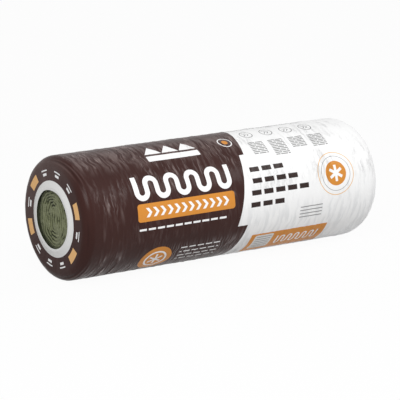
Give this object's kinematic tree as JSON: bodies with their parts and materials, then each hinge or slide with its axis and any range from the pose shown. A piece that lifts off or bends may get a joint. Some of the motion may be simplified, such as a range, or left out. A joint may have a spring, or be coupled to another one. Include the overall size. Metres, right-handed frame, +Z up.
{
  "type": "insulation roll",
  "caption": "Wound mineral wool insulation blanket in a printed film sleeve, lying on its side, with a round opening in each end where the turns show.",
  "frame": {"origin": "middle of the line on which the roll touches the ground", "axes": "+X along the roll's axis from the front end to the back end, +Z up, +Y away from the picture's viewer"},
  "size_m": [1.2, 0.405, 0.4049],
  "materials": {
    "mineral_wool": "matt, fibrous, olive green-grey mineral wool in wound turns with soft creases",
    "printed_film": "thin shrunk polyethylene film, dark brown and white print with orange, satin gloss with fine wrinkles round the barrel"
  },
  "bodies": {
    "root": {"wool_roll": "mineral_wool", "film_sleeve": "printed_film"}
  },
  "joints": []
}
